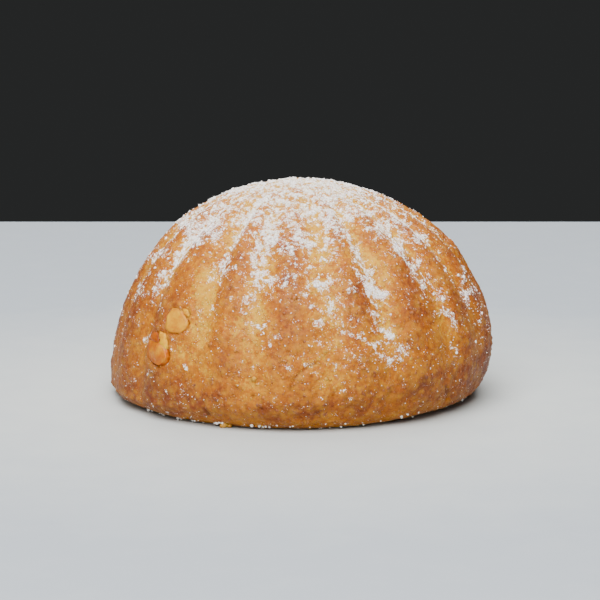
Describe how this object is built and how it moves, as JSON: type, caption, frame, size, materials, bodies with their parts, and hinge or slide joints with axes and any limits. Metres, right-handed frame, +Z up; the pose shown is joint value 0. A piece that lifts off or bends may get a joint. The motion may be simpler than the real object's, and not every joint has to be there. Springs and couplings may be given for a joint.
{
  "type": "almond maamoul biscuit",
  "caption": "Domed, rib-moulded shortbread biscuit with chopped almond baked into its side and a dusting of icing sugar; a sweet to eat.",
  "frame": {"origin": "middle of the biscuit's bounding box, on the flat face it rests on", "axes": "+Z up through the top of the dome; -Y is the side that faces the viewer; +X to the viewer's right"},
  "size_m": [0.05, 0.0498, 0.0279],
  "materials": {
    "dough": "baked shortbread, dry and finely grained",
    "almond": "toasted almond, slightly oily",
    "icing_sugar": "loose powder"
  },
  "bodies": {
    "root": {"maamoul": "dough"}
  },
  "joints": []
}
